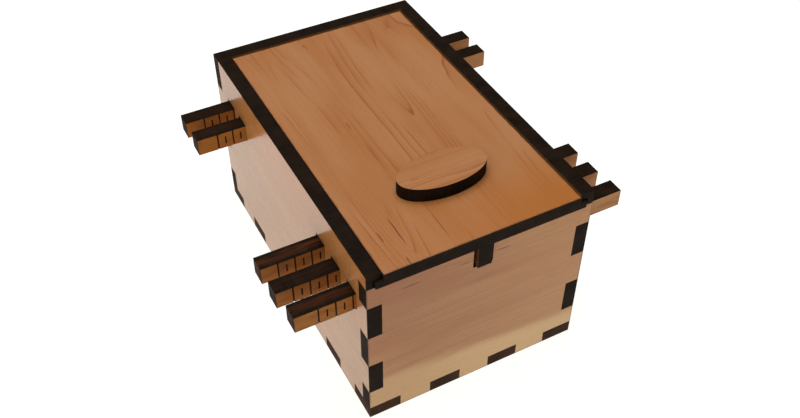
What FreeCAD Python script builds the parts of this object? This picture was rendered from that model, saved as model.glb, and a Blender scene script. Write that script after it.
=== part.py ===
"""Wooden puzzle box: a finger-jointed plywood box with a sliding lid and five lock bars.

All sizes are millimetres. X runs across the front, Y towards the back and Z up.
The origin is on the underside of the bottom panel, at its centre.

Every piece is one flat shape cut from plywood, and the bars are of a slightly thicker sheet.
Two lock ribs under the lid stand in one line, with a notch over each bar and a tooth on both
sides of it. Each bar has a raised comb with a single gap. The bars slide freely under the
notches while the lid is shut, and the lid slides out only when the gap of every bar stands in
line with the ribs.
"""
import FreeCAD, Part
import os
import re
import Sketcher

ORDER = ["first", "second", "third", "fourth", "fifth"]

DIMENSIONS = {
    # The sheet materials and the outside of the box.
    "ply": 5.6,
    "bar_ply": 6.5,
    "box_width": 88.9,
    "box_depth": 139.7,
    "box_height": 76.2,
    # Finger joints: how many equal fingers each kind of edge is divided into.
    "fingers_wide": 7,
    "fingers_deep": 11,
    "fingers_tall": 5,
    # The sliding lid. Its upper half is narrower, and its lower half runs in two grooves.
    # It rests a little nearer the left wall.
    "lid_play": 0.2,
    "lid_side_gap": 0.5,
    "lid_shift": 0.35,
    "lid_back_gap": 1.35,
    "lid_proud": 1.2,
    "tongue_reach": 2.3,
    "groove_reach": 3.0,
    # The oval grip on the lid.
    "grip_length": 35.0,
    "grip_width": 17.8,
    "grip_from_front": 29.5,
    # The lock ribs under the lid, and the gate in the front wall that they pass through.
    "rib_height": 9.4,
    "rib_notch_height": 4.8,
    "rib_notch_play": 1.0,
    "rib_end_tooth": 5.0,
    "rib_back_gap": 0.5,
    "rib_gate_width": 7.7,
    "rib_gate_play": 0.3,
    # The lock bars.
    "bar_length": 132.0,
    "bar_height": 7.3,
    "bar_low": 53.2,
    "bar_comb_rise": 5.2,
    "bar_comb_reach": 18.8,
    "bar_gap_width": 7.2,
    "slot_play_side": 0.4,
    "slot_play_below": 0.2,
    "slot_play_above": 0.8,
    # Middle of each bar's thickness, from the front of the box.
    "first_bar_depth": 11.5,
    "second_bar_depth": 24.0,
    "third_bar_depth": 36.5,
    "fourth_bar_depth": 111.8,
    "fifth_bar_depth": 124.2,
    # How far each bar stands to the right of centre where its gap is in line with the ribs.
    "first_bar_shift": -0.9,
    "second_bar_shift": -2.1,
    "third_bar_shift": -2.4,
    "fourth_bar_shift": 1.4,
    "fifth_bar_shift": 1.1,
    # Engraved ruler lines on each bar's front face, counted from its left end.
    "mark_pitch": 3.175,
    "mark_width": 0.4,
    "mark_depth": 0.3,
    "mark_short_height": 3.4,
    "mark_pairs": 6,
    "first_bar_mark": 8.8,
    "second_bar_mark": 6.4,
    "third_bar_mark": 6.5,
    "fourth_bar_mark": 8.4,
    "fifth_bar_mark": 7.6,
}

# Combinations of the driving dimensions that several pieces share.
FINGER_WIDE = "(box_width / fingers_wide)"
FINGER_DEEP = "(box_depth / fingers_deep)"
FINGER_TALL = "(box_height / fingers_tall)"
LID_BOTTOM = "(box_height - ply)"
LID_BED = "(box_height - ply - lid_play)"
LID_LENGTH = "(box_depth - ply - lid_back_gap + lid_proud)"
LID_TOP_WIDTH = "(box_width - 2 * ply - 2 * lid_side_gap)"
RIB_NOTCH_REACH = "(bar_ply / 2 + rib_notch_play)"

doc = FreeCAD.newDocument("puzzle_box")


def make_sheet():
    """The spreadsheet that holds the driving dimensions."""
    cells = doc.addObject("Spreadsheet::Sheet", "dimensions")
    for row, (alias, value) in enumerate(DIMENSIONS.items(), start=1):
        cells.set(f"A{row}", alias)
        cells.set(f"B{row}", str(value))
        cells.setAlias(f"B{row}", alias)
    doc.recompute()


def formula(text):
    """An expression in which every cell alias is read from the sheet."""
    return re.sub(r"[a-z][a-z_]+", lambda word: f"dimensions.{word.group()}", str(text))


def bind(thing, name, text):
    """Ties one property of an object to the sheet."""
    thing.setExpression(name, formula(text))


def new_body(name):
    """An empty body whose label is also the name of its file."""
    body = doc.addObject("PartDesign::Body", name)
    body.Label = name
    return body


def place(body, along_x, along_y, along_z):
    """Puts a body's own origin at a point of the box."""
    bind(body, ".Placement.Base.x", along_x)
    bind(body, ".Placement.Base.y", along_y)
    bind(body, ".Placement.Base.z", along_z)


def new_sketch(body, name, plane, lift="0"):
    """A sketch on one of the body's own origin planes, lifted along the plane's normal."""
    support = next(item for item in body.Origin.OriginFeatures if item.Role == plane)
    sketch = body.newObject("Sketcher::SketchObject", name)
    sketch.AttachmentSupport = [(support, "")]
    sketch.MapMode = "FlatFace"
    bind(sketch, ".AttachmentOffset.Base.z", lift)
    return sketch


def hold(sketch, kind, first, second, text):
    """A signed distance between two points of a sketch, tied to the sheet."""
    index = sketch.addConstraint(Sketcher.Constraint(kind, *first, *second, 1.0))
    bind(sketch, f"Constraints[{index}]", text)


def pin_to_origin(sketch, point, along, up):
    """Fixes a sketch point by its two distances from the sketch's origin."""
    origin = (-1, 1)
    for kind, axis, text in (("DistanceX", -2, along), ("DistanceY", -1, up)):
        if text == "0":
            sketch.addConstraint(Sketcher.Constraint("PointOnObject", *point, axis))
        else:
            hold(sketch, kind, origin, point, text)


def rectangle(sketch, left, low, width, height):
    """A fully constrained rectangle, from its lower left corner."""
    base = sketch.GeometryCount
    corners = [FreeCAD.Vector(x, y, 0) for x, y in ((0, 0), (9, 0), (9, 9), (0, 9))]
    for start, end in zip(corners, corners[1:] + corners[:1]):
        sketch.addGeometry(Part.LineSegment(start, end), False)
    for side in range(4):
        following = base + (side + 1) % 4
        sketch.addConstraint(Sketcher.Constraint("Coincident", base + side, 2, following, 1))
        direction = "Horizontal" if side % 2 == 0 else "Vertical"
        sketch.addConstraint(Sketcher.Constraint(direction, base + side))
    pin_to_origin(sketch, (base, 1), left, low)
    hold(sketch, "DistanceX", (base, 1), (base, 2), width)
    hold(sketch, "DistanceY", (base + 1, 1), (base + 1, 2), height)


def pad(body, sketch, thickness, away=False):
    """Adds material on the sketch, along its normal or away from it."""
    feature = body.newObject("PartDesign::Pad", f"{sketch.Name}_pad")
    feature.Profile = sketch
    feature.Reversed = away
    bind(feature, "Length", thickness)
    doc.recompute()
    return feature


def pocket(body, sketch, depth, along_normal=False):
    """Removes material behind the sketch, or in front of it, and makes sure that some went."""
    volume_before = body.Shape.Volume
    feature = body.newObject("PartDesign::Pocket", f"{sketch.Name}_cut")
    feature.Profile = sketch
    feature.Reversed = along_normal
    bind(feature, "Length", depth)
    doc.recompute()
    if body.Shape.Volume > volume_before - 0.01:
        raise RuntimeError(f"{feature.Label} removes nothing from {body.Label}")
    return feature


def repeat(body, feature, sketch, axis, count, pitch):
    """Repeats a feature along one axis of its sketch."""
    pattern = body.newObject("PartDesign::LinearPattern", f"{feature.Name}_row")
    pattern.Originals = [feature]
    pattern.Direction = (sketch, [axis])
    bind(pattern, "Length", f"({count} - 1) * {pitch}")
    bind(pattern, "Occurrences", count)
    body.Tip = pattern
    doc.recompute()
    return pattern


def finger_gaps(body, name, plane, axis, rects, count, pitch, along_normal):
    """A row of equal gaps for the fingers of the neighbouring panels."""
    sketch = new_sketch(body, name, plane)
    for rect in rects:
        rectangle(sketch, *rect)
    gaps = pocket(body, sketch, "ply", along_normal)
    repeat(body, gaps, sketch, axis, count, f"2 * {pitch}")


def make_bottom_panel():
    """The bottom panel: its own fingers are the first, third and so on, corners included."""
    body = new_body("bottom_panel")
    outline = new_sketch(body, "bottom_outline", "XY_Plane")
    rectangle(outline, "0", "0", "box_width", "box_depth")
    pad(body, outline, "ply")
    across = [
        (FINGER_WIDE, "0", FINGER_WIDE, "ply"),
        (FINGER_WIDE, "box_depth - ply", FINGER_WIDE, "ply"),
    ]
    finger_gaps(body, "bottom_gaps_across", "XY_Plane", "H_Axis", across,
                "(fingers_wide - 1) / 2", FINGER_WIDE, True)
    along = [
        ("0", FINGER_DEEP, "ply", FINGER_DEEP),
        ("box_width - ply", FINGER_DEEP, "ply", FINGER_DEEP),
    ]
    finger_gaps(body, "bottom_gaps_along", "XY_Plane", "V_Axis", along,
                "(fingers_deep - 1) / 2", FINGER_DEEP, True)
    place(body, "-box_width / 2", "-box_depth / 2", "0")
    return body


def make_end_wall(name, top, along_y):
    """The front or back wall, which shows its edges on the side walls."""
    body = new_body(name)
    outline = new_sketch(body, f"{name}_outline", "XZ_Plane")
    rectangle(outline, "0", "0", "box_width", top)
    pad(body, outline, "ply", away=True)
    foot = [("0", "0", FINGER_WIDE, "ply")]
    finger_gaps(body, f"{name}_gaps_foot", "XZ_Plane", "H_Axis", foot,
                "(fingers_wide + 1) / 2", FINGER_WIDE, False)
    sides = [
        ("0", FINGER_TALL, "ply", FINGER_TALL),
        ("box_width - ply", FINGER_TALL, "ply", FINGER_TALL),
    ]
    finger_gaps(body, f"{name}_gaps_side", "XZ_Plane", "V_Axis", sides,
                "(fingers_tall - 1) / 2", FINGER_TALL, False)
    place(body, "-box_width / 2", along_y, "0")
    return body


def make_front_wall():
    """The front wall stops under the lid and has the gate that the rib slides through."""
    body = make_end_wall("front_wall", LID_BED, "-box_depth / 2")
    gate = new_sketch(body, "rib_gate", "XZ_Plane")
    gate_low = f"{LID_BOTTOM} - rib_height - rib_gate_play"
    rectangle(gate, "(box_width - rib_gate_width) / 2", gate_low,
              "rib_gate_width", f"{LID_BED} - ({gate_low})")
    pocket(body, gate, "ply")
    return body


def make_side_wall(name, inner_lift, groove_along_normal, along_x):
    """A side wall: finger gaps, five bar slots, and the groove for the lid's tongue."""
    body = new_body(name)
    outline = new_sketch(body, f"{name}_outline", "YZ_Plane")
    rectangle(outline, "0", "0", "box_depth", "box_height")
    pad(body, outline, "ply")

    foot = [("0", "0", FINGER_DEEP, "ply")]
    finger_gaps(body, f"{name}_gaps_foot", "YZ_Plane", "H_Axis", foot,
                "(fingers_deep + 1) / 2", FINGER_DEEP, True)
    ends = [
        ("0", "0", "ply", FINGER_TALL),
        ("box_depth - ply", "0", "ply", FINGER_TALL),
    ]
    finger_gaps(body, f"{name}_gaps_end", "YZ_Plane", "V_Axis", ends,
                "(fingers_tall - 1) / 2", FINGER_TALL, True)

    tops = new_sketch(body, f"{name}_gaps_top", "YZ_Plane")
    top_low = f"(fingers_tall - 1) * {FINGER_TALL}"
    rectangle(tops, "0", top_low, "ply", f"{LID_BED} - {top_low}")
    rectangle(tops, "box_depth - ply", top_low, "ply", FINGER_TALL)
    pocket(body, tops, "ply", along_normal=True)

    slots = new_sketch(body, f"{name}_bar_slots", "YZ_Plane")
    for word in ORDER:
        rectangle(slots, f"{word}_bar_depth - bar_ply / 2 - slot_play_side",
                  "bar_low - slot_play_below", "bar_ply + 2 * slot_play_side",
                  "bar_height + slot_play_below + slot_play_above")
    pocket(body, slots, "ply", along_normal=True)

    groove = new_sketch(body, f"{name}_groove", "YZ_Plane", lift=inner_lift)
    rectangle(groove, "0", LID_BED, "box_depth - ply", "ply / 2 + 2 * lid_play")
    pocket(body, groove, "groove_reach", along_normal=groove_along_normal)
    place(body, along_x, "-box_depth / 2", "0")
    return body


def make_lid_panel():
    """The lid: a wide lower half, whose edges are the tongues, under a narrower upper half."""
    body = new_body("lid_panel")
    lower = new_sketch(body, "lid_lower_half", "XY_Plane")
    rectangle(lower, "0", "0",
              f"{LID_TOP_WIDTH} + 2 * (lid_side_gap + tongue_reach)", LID_LENGTH)
    pad(body, lower, "ply / 2")
    upper = new_sketch(body, "lid_upper_half", "XY_Plane", lift="ply / 2")
    rectangle(upper, "lid_side_gap + tongue_reach", "0", LID_TOP_WIDTH, LID_LENGTH)
    pad(body, upper, "ply / 2")
    place(body, f"-{LID_TOP_WIDTH} / 2 - lid_side_gap - tongue_reach - lid_shift",
          "-box_depth / 2 - lid_proud", LID_BOTTOM)
    return body


def make_lid_grip():
    """The oval grip that is glued on the lid."""
    body = new_body("lid_grip")
    sketch = new_sketch(body, "grip_outline", "XY_Plane")
    centre = FreeCAD.Vector(0, 0, 0)
    oval = Part.Ellipse(centre, DIMENSIONS["grip_length"] / 2, DIMENSIONS["grip_width"] / 2)
    sketch.addGeometry(oval, False)
    sketch.exposeInternalGeometry(0)
    long_axis = 1
    short_axis = 2
    sketch.addConstraint(Sketcher.Constraint("Coincident", 0, 3, -1, 1))
    sketch.addConstraint(Sketcher.Constraint("Horizontal", long_axis))
    for axis, size in ((long_axis, "grip_length"), (short_axis, "grip_width")):
        index = sketch.addConstraint(
            Sketcher.Constraint("Distance", axis, DIMENSIONS[size]))
        bind(sketch, f"Constraints[{index}]", size)
    pad(body, sketch, "ply")
    place(body, "0", "-box_depth / 2 + grip_from_front", "box_height")
    return body


def make_lock_rib(name, front, back, words):
    """A toothed rib under the lid, between two depths, with a notch over each of its bars."""
    body = new_body(name)
    outline = new_sketch(body, f"{name}_outline", "YZ_Plane")
    rectangle(outline, "0", "0", f"{back} - ({front})", "rib_height")
    pad(body, outline, "ply")
    notches = new_sketch(body, f"{name}_notches", "YZ_Plane")
    for word in words:
        rectangle(notches, f"{word}_bar_depth - {RIB_NOTCH_REACH} - ({front})", "0",
                  f"2 * {RIB_NOTCH_REACH}", "rib_notch_height")
    pocket(body, notches, "ply", along_normal=True)
    place(body, "-ply / 2", f"-box_depth / 2 + ({front})", f"{LID_BOTTOM} - rib_height")
    return body


def make_lock_bar(word, number):
    """One lock bar: a long plain bar, a raised comb with one gap, and ruler lines."""
    body = new_body(f"lock_bar_{number}")
    outline = new_sketch(body, f"bar_{number}_outline", "XZ_Plane")
    rectangle(outline, "0", "0", "bar_length", "bar_height")
    pad(body, outline, "bar_ply", away=True)

    comb = new_sketch(body, f"bar_{number}_comb", "XZ_Plane")
    comb_left = "bar_length / 2 - bar_comb_reach"
    gap_left = f"bar_length / 2 - {word}_bar_shift - bar_gap_width / 2"
    rectangle(comb, comb_left, "bar_height", f"({gap_left}) - ({comb_left})", "bar_comb_rise")
    rectangle(comb, f"{gap_left} + bar_gap_width", "bar_height",
              f"bar_comb_reach + {word}_bar_shift - bar_gap_width / 2", "bar_comb_rise")
    pad(body, comb, "bar_ply", away=True)

    marks = new_sketch(body, f"bar_{number}_marks", "XZ_Plane")
    rectangle(marks, f"{word}_bar_mark - mark_width / 2", "0", "mark_width", "bar_height")
    rectangle(marks, f"{word}_bar_mark + mark_pitch - mark_width / 2",
              "(bar_height - mark_short_height) / 2", "mark_width", "mark_short_height")
    lines = pocket(body, marks, "mark_depth")
    repeat(body, lines, marks, "H_Axis", "mark_pairs", "2 * mark_pitch")
    place(body, f"{word}_bar_shift - bar_length / 2",
          f"-box_depth / 2 + {word}_bar_depth - bar_ply / 2", "bar_low")
    return body


def check(bodies):
    """Stops on any object that failed, and on any piece that isn't one closed solid."""
    for item in doc.Objects:
        if "Invalid" in item.State or "Error" in item.State:
            raise RuntimeError(f"{item.Label} failed: {item.State}")
    for body in bodies:
        shape = body.Shape
        if shape.isNull() or not shape.isValid() or len(shape.Solids) != 1:
            raise RuntimeError(f"{body.Label} isn't one valid solid")


make_sheet()
pieces = [
    make_bottom_panel(),
    make_front_wall(),
    make_end_wall("back_wall", "box_height", "box_depth / 2 - ply"),
    make_side_wall("left_wall", "ply", False, "-box_width / 2"),
    make_side_wall("right_wall", "0", True, "box_width / 2 - ply"),
    make_lid_panel(),
    make_lid_grip(),
    make_lock_rib("lid_rib_front", "-lid_proud",
                  f"(third_bar_depth + {RIB_NOTCH_REACH} + rib_end_tooth)", ORDER[:3]),
    make_lock_rib("lid_rib_rear", f"(fourth_bar_depth - {RIB_NOTCH_REACH} - rib_end_tooth)",
                  "(box_depth - ply - lid_back_gap - rib_back_gap)", ORDER[3:]),
]
for bar_number, bar_word in enumerate(ORDER, start=1):
    pieces.append(make_lock_bar(bar_word, bar_number))
doc.recompute()
check(pieces)

os.makedirs("parts", exist_ok=True)
for piece in pieces:
    box = piece.Shape.BoundBox
    print(f"{piece.Label}: {piece.Shape.Volume:.1f} mm3, "
          f"x {box.XMin:.2f} {box.XMax:.2f}, y {box.YMin:.2f} {box.YMax:.2f}, "
          f"z {box.ZMin:.2f} {box.ZMax:.2f}")
    piece.Shape.exportStep(f"parts/{piece.Label}.step")
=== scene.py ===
"""The looks of the wooden puzzle box: laser-cut maple plywood with burnt edges, on a pale floor.

Scene lengths are in metres, as in the frame. Inside the materials, lengths are in millimetres.
"""

import math

import bpy
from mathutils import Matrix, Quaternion, Vector


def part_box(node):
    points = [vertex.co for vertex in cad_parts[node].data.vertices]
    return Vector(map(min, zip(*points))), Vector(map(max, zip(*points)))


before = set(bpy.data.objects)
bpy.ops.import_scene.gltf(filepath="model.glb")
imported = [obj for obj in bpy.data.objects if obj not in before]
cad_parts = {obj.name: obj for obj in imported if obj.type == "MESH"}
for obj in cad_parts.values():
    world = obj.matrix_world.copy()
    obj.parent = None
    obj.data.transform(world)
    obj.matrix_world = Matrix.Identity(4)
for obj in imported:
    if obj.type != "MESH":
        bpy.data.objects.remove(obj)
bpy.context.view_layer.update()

MM = 0.001
PER_METRE = 1000.0
X, Y, Z = range(3)

# Camera: the angle, distance and lens of the photograph. It looks at a point inside the box.
CAMERA_AZIMUTH = -28.06
CAMERA_ELEVATION = 43.74
CAMERA_ROLL = 0.18
CAMERA_DISTANCE = 0.3805
CAMERA_TARGET = Vector((-0.00115, -0.01157, 0.0381))
CAMERA_LENS = 43.15

# Finish of the plywood: roughness from and to, and how much light the bare surface mirrors.
SATIN = (0.18, 0.30)
BARE = (0.42, 0.60)
SOOT = (0.60, 0.85)
SOOT_MIRROR = 0.06
BARE_MIRROR = 0.1
SATIN_MIRROR = 0.38
EDGE_SOFTNESS = 0.12 * MM
WELD_DISTANCE = 0.001 * MM

# Colours are linear. Wood tones go from the palest to the darkest, and burnt tones from black up.
LID_TONES = ((0.525, 0.230, 0.090), (0.495, 0.200, 0.068), (0.465, 0.165, 0.046))
WALL_TONES = ((0.460, 0.200, 0.060), (0.420, 0.165, 0.041), (0.385, 0.130, 0.030))
CREAM_TONES = ((0.490, 0.226, 0.068), (0.448, 0.197, 0.053), (0.412, 0.166, 0.042))
BAR_TONES = ((0.560, 0.290, 0.120), (0.490, 0.230, 0.085), (0.400, 0.165, 0.055))
# The ribs' tones are dark partly from soot and partly as painted shade on their sides.
RIB_SOOT_AND_SHADE_TONES = ((0.110, 0.050, 0.024), (0.080, 0.034, 0.016), (0.050, 0.021, 0.010))
LINE_TONE = (0.330, 0.105, 0.034)
CHAR_TONES = ((0.0080, 0.0040, 0.0022), (0.024, 0.0125, 0.0065))
BOTTOM_CHAR_TONES = ((0.030, 0.013, 0.006), (0.076, 0.032, 0.015))
CORE_TONE = (0.110, 0.030, 0.008)
ENGRAVED_TONES = ((0.012, 0.005, 0.003), (0.035, 0.016, 0.009))
SCORCH_TONE = (0.130, 0.042, 0.012)
# Painted shade: the warm brown that darkens the lock bars from the left wall outwards.
BAR_SHADE_TONE = (0.350, 0.118, 0.014)
MINERAL_TONE = (0.130, 0.028, 0.010)
PALE_FOOT_TONE = (0.700, 0.430, 0.180)
HONEY_TONE = (0.600, 0.280, 0.080)
# Painted warm shade on the side walls' upper band, above the lock bars.
ROSE_SHADE_TONE = (0.560, 0.205, 0.070)
AMBER_TONE = (0.480, 0.155, 0.024)

REFRACTION = 1.5

# Millimetres. The lid's lower half is wider than its visible upper half by LID_TONGUE on each
# side. A full face lies within FACE_SKIN of the sheet's surface, and engraved floors lie deeper.
# Patterns hardly change through a sheet: THROUGH is their feature size in that direction. FAR is
# farther than any point lies from an edge.
LID_TONGUE = 2.8
FACE_SKIN = (0.2, 0.1)
THROUGH = 60
FAR = 1000.0

# How many growth rings a whole swing of the smooth noise holds, and how far they tremble.
RING_COUNT = 15.0
RING_TREMBLE = 0.22

# The floor's grey and glow, and the white sky as the camera sees it and as a light.
FLOOR_SIZE = 6.0
FLOOR_TONE = (0.30, 0.30, 0.30, 1.0)
FLOOR_GLOW = (1.0, 1.0, 0.96, 1.0)
FLOOR_GLOW_STRENGTH = 0.90
SKY_SHOWN = 1.0
SKY_LIGHT = 0.25

# Softboxes: name, place and side in metres, and power in watts.
SOFTBOXES = (
    ("key", (0.0, 0.12, 1.0), 0.7, 5.8),
    ("fill", (-0.75, -0.35, 0.60), 0.8, 2.0),
)


class Nodes:
    """The nodes of a material or the world, built by calls that take and return sockets or values."""

    def __init__(self, tree):
        self.tree = tree
        tree.nodes.clear()

    def add(self, kind, **settings):
        node = self.tree.nodes.new(kind)
        for name, value in settings.items():
            setattr(node, name, value)
        return node

    def feed(self, socket, value):
        if isinstance(value, bpy.types.NodeSocket):
            self.tree.links.new(value, socket)
        elif socket.type == "RGBA" and len(value) == 3:
            socket.default_value = (*value, 1.0)
        else:
            socket.default_value = value

    def math(self, operation, *values):
        node = self.add("ShaderNodeMath", operation=operation)
        for socket, value in zip(node.inputs, values):
            self.feed(socket, value)
        return node.outputs[0]

    def mix(self, share, low, high):
        """The colour low where share is 0, and high where it is 1."""
        node = self.add("ShaderNodeMix", data_type="RGBA")
        self.feed(node.inputs[0], share)
        self.feed(node.inputs[6], low)
        self.feed(node.inputs[7], high)
        return node.outputs[2]

    def span(self, value, low, high, start=0.0, end=1.0):
        """Goes smoothly from start, where value is low, to end, where it is high."""
        node = self.add("ShaderNodeMapRange", interpolation_type="SMOOTHSTEP", clamp=True)
        for socket, given in zip(node.inputs, (value, low, high, start, end)):
            self.feed(socket, given)
        return node.outputs[0]

    def join(self, x, y, z):
        node = self.add("ShaderNodeCombineXYZ")
        for socket, value in zip(node.inputs, (x, y, z)):
            self.feed(socket, value)
        return node.outputs[0]

    def noise(self, point, sizes, detail=2.0, roughness=0.5, shift=0.0):
        """Noise from 0 to 1 at a point, a list of three values, with a feature size for each."""
        scaled = [self.math("DIVIDE", value, size) for value, size in zip(point, sizes)]
        scaled[2] = self.math("ADD", scaled[2], shift)
        node = self.add("ShaderNodeTexNoise")
        self.feed(node.inputs["Vector"], self.join(*scaled))
        self.feed(node.inputs["Scale"], 1.0)
        self.feed(node.inputs["Detail"], detail)
        self.feed(node.inputs["Roughness"], roughness)
        return node.outputs[0]

    def ramp(self, value, tones):
        """A colour that goes through tones, evenly spaced, as value goes from 0 to 1."""
        node = self.add("ShaderNodeValToRGB")
        elements = node.color_ramp.elements
        while len(elements) < len(tones):
            elements.new(0.5)
        for i, tone in enumerate(tones):
            elements[i].position = i / (len(tones) - 1)
            elements[i].color = (*tone, 1.0)
        self.feed(node.inputs[0], value)
        return node.outputs[0]

    def patch(self, along, across, centre, half_size, softness=0.6):
        """1 in the middle of an ellipse in the sheet's plane, and 0 outside it."""
        squares = []
        for value, middle, half in zip((along, across), centre, half_size):
            offset = self.math("DIVIDE", self.math("SUBTRACT", value, middle), half)
            squares.append(self.math("MULTIPLY", offset, offset))
        return self.span(self.math("ADD", *squares), 1.0, 1.0 - softness)


class Sheet:
    """Where a CAD node lies as a sheet of plywood: its thin axis, its grain, and its faces."""

    def __init__(self, name, thin, grain):
        self.name = name
        self.thin = thin
        self.grain = grain
        self.cross = 3 - thin - grain
        low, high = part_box(name)
        self.low = low * PER_METRE
        self.high = high * PER_METRE
        self.shift = 7.3 * sorted(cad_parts).index(name)

    def middle(self, axis):
        return (self.low[axis] + self.high[axis]) / 2

    def half(self, axis):
        return (self.high[axis] - self.low[axis]) / 2


def sheet_point(nodes, sheet):
    """The surface point in millimetres, along the grain, across it, and through the sheet."""
    place = nodes.add("ShaderNodeTexCoord")
    parts = nodes.add("ShaderNodeSeparateXYZ")
    nodes.feed(parts.inputs[0], place.outputs["Object"])
    axes = (sheet.grain, sheet.cross, sheet.thin)
    return [nodes.math("MULTIPLY", parts.outputs[axis], PER_METRE) for axis in axes]


def face_share(nodes, sheet, through):
    """1 on the sheet's two full faces, and 0 on cut edges and engraved floors.

    The second value is 1 on every part that lies flat, engraved floors included. The pieces only
    slide, so the world's axes are also their own.
    """
    geometry = nodes.add("ShaderNodeNewGeometry")
    parts = nodes.add("ShaderNodeSeparateXYZ")
    nodes.feed(parts.inputs[0], geometry.outputs["True Normal"])
    facing = nodes.math("ABSOLUTE", parts.outputs[sheet.thin])
    depth = nodes.math("ABSOLUTE", nodes.math("SUBTRACT", through, sheet.middle(sheet.thin)))
    flat = nodes.span(facing, 0.90, 0.97)
    full = nodes.span(depth, *(sheet.half(sheet.thin) - skin for skin in FACE_SKIN))
    return nodes.math("MULTIPLY", flat, full), flat


def veneer(nodes, sheet, point, tones, ring=4.0, lines=0.5, threads=0.15):
    """Maple veneer: growth rings that flow along the grain, blotches, fibre and short flecks.

    Rings are the contours of a smooth noise that is stretched along the grain. ring is about
    how far apart they are, and lines is how strong their dark edges are. threads is how strong
    the long, fine lines between them are.
    """
    def pattern(number, sizes, **settings):
        return nodes.noise(point, sizes, shift=sheet.shift + number, **settings)

    field = pattern(0, (60 * ring, 5.5 * ring, THROUGH), detail=1.0, roughness=0.3)
    tremble = pattern(1, (9, 2.5, THROUGH))
    tremble = nodes.math("MULTIPLY", tremble, RING_TREMBLE)
    rings = nodes.math("ADD", nodes.math("MULTIPLY", field, RING_COUNT), tremble)
    phase = nodes.math("FRACT", rings)
    fade = nodes.span(pattern(2, (45, 7, THROUGH), detail=1.0), 0.40, 0.62)
    blotch = pattern(3, (60, 13, THROUGH), detail=3.0)
    fibre = pattern(4, (6.0, 0.28, THROUGH))
    flecks = pattern(5, (2.0, 0.24, THROUGH), detail=0.0)
    thread = pattern(12, (110, 0.65, THROUGH), detail=1.0)
    late = nodes.math("MULTIPLY", nodes.span(phase, 0.1, 1.0, 0.0, 0.5), fade)
    figure = nodes.math("ADD", nodes.math("MULTIPLY", nodes.span(blotch, 0.32, 0.68), 0.65), late)
    colour = nodes.ramp(figure, tones)
    edge = nodes.math("MULTIPLY", nodes.span(phase, 0.84, 0.97), nodes.span(phase, 1.0, 0.985))
    edge = nodes.math("MULTIPLY", edge, nodes.math("MULTIPLY", fade, lines))
    colour = nodes.mix(edge, colour, LINE_TONE)
    colour = nodes.mix(nodes.span(thread, 0.48, 0.72, 0.0, threads), colour, LINE_TONE)
    colour = nodes.mix(nodes.span(fibre, 0.35, 0.80, 0.0, 0.07), colour, LINE_TONE)
    colour = nodes.mix(nodes.span(flecks, 0.70, 0.82, 0.0, 0.15), colour, MINERAL_TONE)
    return colour, fibre


def scorch(nodes, sheet, point, reach, bounds=None):
    """How brown the face is near its outer edges, where the cutting beam passed."""
    edges = bounds or [(sheet.low[axis], sheet.high[axis]) for axis in (sheet.grain, sheet.cross)]
    nearest = FAR
    for value, (low, high) in zip(point, edges):
        nearest = nodes.math("MINIMUM", nearest, nodes.math("SUBTRACT", value, low))
        nearest = nodes.math("MINIMUM", nearest, nodes.math("SUBTRACT", high, value))
    ragged = nodes.noise(point, (3.0, 3.0, THROUGH), detail=3.0, shift=sheet.shift + 6)
    distance = nodes.math("DIVIDE", nearest, nodes.span(ragged, 0.25, 0.75, reach * 0.5, reach * 1.5))
    return nodes.span(distance, 1.0, 0.0)


def burnt(nodes, sheet, point, tones, core):
    """A laser-cut edge: soot with fine lines through the thickness, and a browner core ply.

    core is how much of the core shows at the left end of a bar. Less shows towards the right.
    """
    along, _, through = point
    lines = nodes.noise(point, (0.45, 0.45, 14), detail=2.0, shift=sheet.shift + 7)
    soot = nodes.noise(point, (6, 6, 6), detail=2.0, shift=sheet.shift + 8)
    mixed = nodes.math("ADD", nodes.math("MULTIPLY", lines, 0.55), nodes.math("MULTIPLY", soot, 0.45))
    colour = nodes.ramp(nodes.span(mixed, 0.32, 0.72), tones)
    depth = nodes.math("ABSOLUTE", nodes.math("SUBTRACT", through, sheet.middle(sheet.thin)))
    half = sheet.half(sheet.thin)
    ply = nodes.span(depth, half * 0.62, half * 0.40)
    streaks = nodes.noise(point, (14, 0.8, 0.5), detail=2.0, shift=sheet.shift + 9)
    shown = nodes.span(along, 0, -45, 0.1 * core, core)
    share = nodes.math("MULTIPLY", nodes.math("MULTIPLY", ply, shown), nodes.span(streaks, 0.35, 0.65))
    return nodes.mix(share, colour, CORE_TONE), lines


def surface(nodes, colour, rough, bump, mirror):
    """One shader. mirror is how much light the surface mirrors."""
    shader = nodes.add("ShaderNodeBsdfPrincipled")
    nodes.feed(shader.inputs["Base Color"], colour)
    nodes.feed(shader.inputs["Roughness"], rough)
    nodes.feed(shader.inputs["Normal"], bump)
    shader.inputs["IOR"].default_value = REFRACTION
    shader.inputs["Specular IOR Level"].default_value = mirror
    return shader.outputs[0]


def relief(nodes, height, strength, depth):
    """A bump of this depth in metres, from a height between 0 and 1."""
    bump = nodes.add("ShaderNodeBump")
    nodes.feed(bump.inputs["Strength"], strength)
    nodes.feed(bump.inputs["Distance"], depth)
    nodes.feed(bump.inputs["Height"], height)
    return bump.outputs[0]


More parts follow.
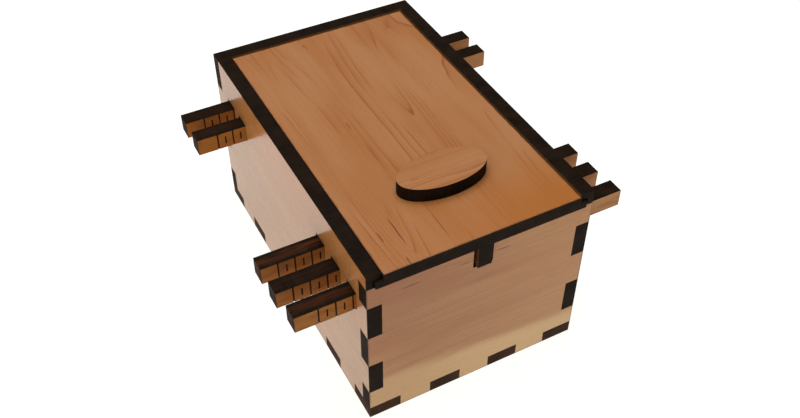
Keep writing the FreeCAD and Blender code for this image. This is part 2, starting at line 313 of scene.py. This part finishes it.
def plywood(sheet, tones, finish=SATIN, mirror=SATIN_MIRROR, reach=0.7, bounds=None, marks=None,
            char=CHAR_TONES, core=0.0, figure=None):
    """The material of one sheet of plywood, and the sheet's own marks if it has any."""
    material = bpy.data.materials.new("plywood_" + sheet.name)
    material.use_nodes = True
    nodes = Nodes(material.node_tree)
    point = sheet_point(nodes, sheet)
    face, flat = face_share(nodes, sheet, point[2])

    wood, fibre = veneer(nodes, sheet, point, tones, **(figure or {}))
    if marks:
        wood = marks(nodes, sheet, point, wood)
    halo = scorch(nodes, sheet, point, reach, bounds)
    wood = nodes.mix(nodes.math("MULTIPLY", halo, 0.75), wood, SCORCH_TONE)
    grain = relief(nodes, fibre, 0.12, 0.02 * MM)
    face_shader = surface(nodes, wood, nodes.span(fibre, 0.3, 0.7, *finish), grain, mirror)

    soot, lines = burnt(nodes, sheet, point, char, core)
    engraved = nodes.ramp(nodes.span(lines, 0.3, 0.7), ENGRAVED_TONES)
    cut = nodes.mix(flat, soot, engraved)
    grooves = relief(nodes, lines, 0.5, 0.08 * MM)
    cut_shader = surface(nodes, cut, nodes.span(lines, 0.3, 0.7, *SOOT), grooves, SOOT_MIRROR)

    chosen = nodes.add("ShaderNodeMixShader")
    for socket, value in zip(chosen.inputs, (face, cut_shader, face_shader)):
        nodes.feed(socket, value)
    output = nodes.add("ShaderNodeOutputMaterial")
    nodes.feed(output.inputs["Surface"], chosen.outputs[0])
    return material


# Dark mineral streaks in the lid's veneer: distance from the lid's front edge, place across the
# lid from its middle, half length, half width, strength.
LID_STREAKS = (
    (15.8, -25.8, 8.0, 0.30, 0.80),
    (15.4, -32.0, 3.2, 0.28, 0.70),
    (2.0, -28.6, 2.2, 0.45, 0.55),
    (12.0, -11.5, 6.5, 0.35, 0.30),
    (72.8, -16.0, 2.8, 0.35, 0.40),
    (54.8, -15.1, 7.0, 0.40, 0.28),
)


def lid_marks(nodes, sheet, point, colour):
    """Mineral streaks, and a more orange stretch of veneer towards the front edge."""
    along, across, _ = point
    front = sheet.low[Y]
    warm = nodes.span(along, front + 40, front)
    warm = nodes.math("MULTIPLY", warm, nodes.span(across, -35, 35, 0.15, 0.9))
    colour = nodes.mix(warm, colour, AMBER_TONE)
    waver = nodes.noise(point, (5, 5, THROUGH), detail=2.0, shift=3)
    wavered = nodes.math("MULTIPLY_ADD", waver, 0.4, nodes.math("SUBTRACT", across, 0.2))
    for distance, place, length, width, strength in LID_STREAKS:
        share = nodes.patch(along, wavered, (front + distance, place), (length, width))
        colour = nodes.mix(nodes.math("MULTIPLY", share, strength), colour, MINERAL_TONE)
    return colour


# The front wall's paler band along its foot: the height of its upper edge in the middle, and how that
# edge slopes.
PALE_FOOT_HEIGHT = 18.0
PALE_FOOT_SLOPE = -0.10

# Smudges on the front wall: place along the wall from its middle, height, half length, half
# height, strength.
FRONT_SMUDGES = (
    (-27.8, 64.6, 5.0, 0.45, 0.80),
    (8.2, 64.9, 3.6, 0.50, 0.70),
    (-7.0, 64.8, 3.4, 0.60, 0.45),
    (1.0, 54.0, 6.0, 2.20, 0.12),
)


def front_marks(nodes, sheet, point, colour):
    """A paler band along the foot of the wall, a lighter right side, a warmer top left corner, and a
    few smudges.
    """
    along, across, _ = point
    edge = nodes.math("MULTIPLY_ADD", along, PALE_FOOT_SLOPE, PALE_FOOT_HEIGHT)
    ragged = nodes.noise(point, (40, 4, THROUGH), detail=2.0, shift=11)
    edge = nodes.math("MULTIPLY_ADD", nodes.math("SUBTRACT", ragged, 0.5), 5.0, edge)
    below = nodes.span(nodes.math("SUBTRACT", edge, across), -3.0, 5.0)
    below = nodes.math("MULTIPLY", below, nodes.span(along, -44, 20, 0.6, 0.9))
    left = nodes.math("MULTIPLY", nodes.span(along, 10, -44, 0.0, 0.45), nodes.span(across, 30, 60))
    colour = nodes.mix(left, colour, LINE_TONE)
    colour = nodes.mix(nodes.span(along, -15, 44, 0.0, 0.4), colour, HONEY_TONE)
    colour = nodes.mix(below, colour, PALE_FOOT_TONE)
    for place, height, length, width, strength in FRONT_SMUDGES:
        share = nodes.patch(along, across, (place, height), (length, width), softness=1.0)
        colour = nodes.mix(nodes.math("MULTIPLY", share, strength), colour, MINERAL_TONE)
    return colour


def side_marks(nodes, sheet, point, colour):
    """The side walls turn redder towards the top: a painted warm tint for the shade and warm bounce
    light above the bars.
    """
    height = point[1]
    return nodes.mix(nodes.span(height, 48, 72, 0.0, 0.45), colour, ROSE_SHADE_TONE)


def bar_marks(nodes, sheet, point, colour):
    """Painted shade: the end with the ruler lines is darkened to a warm brown from the wall outwards,
    for the shade and warm bounce between the bars and the wall, with uneven scorch streaks over it.
    """
    along = point[0]
    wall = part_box("left_wall")[1][X] * PER_METRE
    uneven = nodes.noise(point, (9, 3, THROUGH), detail=2.0, shift=sheet.shift + 10)
    painted_shade = nodes.span(along, wall + 6, wall - 3)
    colour = nodes.mix(nodes.math("MULTIPLY", painted_shade, 0.9), colour, BAR_SHADE_TONE)
    stain = nodes.math("MULTIPLY", painted_shade, nodes.span(uneven, 0.45, 0.70, 0.0, 0.4))
    return nodes.mix(stain, colour, SCORCH_TONE)


def soften(node):
    """Rounds a node's sharp edges a little, so that they catch the light."""
    weld = node.modifiers.new("weld", "WELD")
    weld.merge_threshold = WELD_DISTANCE
    bevel = node.modifiers.new("bevel", "BEVEL")
    bevel.width = EDGE_SOFTNESS
    bevel.segments = 2
    bevel.limit_method = "ANGLE"
    bevel.angle_limit = math.radians(40)


def dress(name, thin, grain, tones, **details):
    """Gives a CAD node its material and its softened edges."""
    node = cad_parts[name]
    material = plywood(Sheet(name, thin, grain), tones, **details)
    node.data.materials.clear()
    node.data.materials.append(material)
    soften(node)


# How much of the browner core ply shows on each lock bar's cut edges, front bar first.
BAR_CORES = (0.55, 0.15, 0.85, 0.10, 0.10)


def dress_all():
    """Dresses every CAD node: its thin axis, the axis of its grain, and its tones."""
    lid_low, lid_high = (corner * PER_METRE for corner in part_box("lid_panel"))
    lid_face = [(lid_low[Y], lid_high[Y]), (lid_low[X] + LID_TONGUE, lid_high[X] - LID_TONGUE)]
    fine = {"ring": 1.6, "lines": 0.30}
    dress("lid_panel", Z, Y, LID_TONES, bounds=lid_face, marks=lid_marks,
          figure={"ring": 3.2, "lines": 0.9})
    dress("lid_grip", Z, X, LID_TONES, reach=0.3,
          figure={"ring": 1.3, "lines": 0.7, "threads": 0.45})
    dress("front_wall", Y, X, WALL_TONES, marks=front_marks,
          figure={"ring": 1.1, "lines": 0.5, "threads": 0.6})
    dress("back_wall", Y, X, WALL_TONES, figure=fine)
    for name in ("left_wall", "right_wall"):
        dress(name, X, Y, CREAM_TONES, marks=side_marks, figure=fine)
    dress("bottom_panel", Z, Y, WALL_TONES, char=BOTTOM_CHAR_TONES)
    # The ribs are dark partly from soot and partly from painted shade.
    for name in ("lid_rib_front", "lid_rib_rear"):
        dress(name, X, Y, RIB_SOOT_AND_SHADE_TONES, finish=BARE, mirror=BARE_MIRROR)
    for number, core in enumerate(BAR_CORES, start=1):
        dress(f"lock_bar_{number}", Y, X, BAR_TONES, finish=BARE, mirror=BARE_MIRROR,
              marks=bar_marks, core=core, reach=0.4, figure=fine)


def add_floor():
    """A plain pale floor, bright enough to fade into the white background."""
    bpy.ops.mesh.primitive_plane_add(size=FLOOR_SIZE)
    floor = bpy.context.object
    floor.name = "floor"
    material = bpy.data.materials.new("floor")
    material.use_nodes = True
    shader = material.node_tree.nodes["Principled BSDF"]
    shader.inputs["Base Color"].default_value = FLOOR_TONE
    shader.inputs["Roughness"].default_value = 0.9
    shader.inputs["Specular IOR Level"].default_value = 0.1
    shader.inputs["Emission Color"].default_value = FLOOR_GLOW
    shader.inputs["Emission Strength"].default_value = FLOOR_GLOW_STRENGTH
    floor.data.materials.append(material)


def add_world():
    """White behind the object, and a dimmer, even light from all round."""
    world = bpy.data.worlds.new("studio")
    bpy.context.scene.world = world
    world.use_nodes = True
    nodes = Nodes(world.node_tree)
    path = nodes.add("ShaderNodeLightPath")
    shown = nodes.add("ShaderNodeBackground")
    shown.inputs["Strength"].default_value = SKY_SHOWN
    lighting = nodes.add("ShaderNodeBackground")
    lighting.inputs["Strength"].default_value = SKY_LIGHT
    chosen = nodes.add("ShaderNodeMixShader")
    nodes.feed(chosen.inputs[0], path.outputs["Is Camera Ray"])
    nodes.feed(chosen.inputs[1], lighting.outputs[0])
    nodes.feed(chosen.inputs[2], shown.outputs[0])
    output = nodes.add("ShaderNodeOutputWorld")
    nodes.feed(output.inputs[0], chosen.outputs[0])


def add_softbox(name, place, size, power):
    """A square area light that faces the box, and that the camera doesn't see."""
    light = bpy.data.lights.new(name, "AREA")
    light.shape = "SQUARE"
    light.size = size
    light.energy = power
    lamp = bpy.data.objects.new(name, light)
    bpy.context.scene.collection.objects.link(lamp)
    lamp.location = place
    lamp.rotation_mode = "QUATERNION"
    lamp.rotation_quaternion = (CAMERA_TARGET - Vector(place)).to_track_quat("-Z", "Y")
    lamp.visible_camera = False


def add_camera():
    """The camera, on a line through its target, with the photograph's lens."""
    azimuth = math.radians(CAMERA_AZIMUTH)
    elevation = math.radians(CAMERA_ELEVATION)
    back = Vector((math.sin(azimuth) * math.cos(elevation),
                   -math.cos(azimuth) * math.cos(elevation),
                   math.sin(elevation)))
    camera = bpy.data.objects.new("camera", bpy.data.cameras.new("camera"))
    bpy.context.scene.collection.objects.link(camera)
    camera.data.sensor_fit = "HORIZONTAL"
    camera.data.sensor_width = 36.0
    camera.data.lens = CAMERA_LENS
    camera.data.clip_start = 0.01
    camera.data.clip_end = 20.0
    camera.location = CAMERA_TARGET + back * CAMERA_DISTANCE
    roll = Quaternion(back, math.radians(CAMERA_ROLL))
    camera.rotation_mode = "QUATERNION"
    camera.rotation_quaternion = roll @ (-back).to_track_quat("-Z", "Y")
    bpy.context.scene.camera = camera


bpy.context.scene.view_settings.view_transform = "Standard"
dress_all()
add_floor()
add_world()
for softbox in SOFTBOXES:
    add_softbox(*softbox)
add_camera()
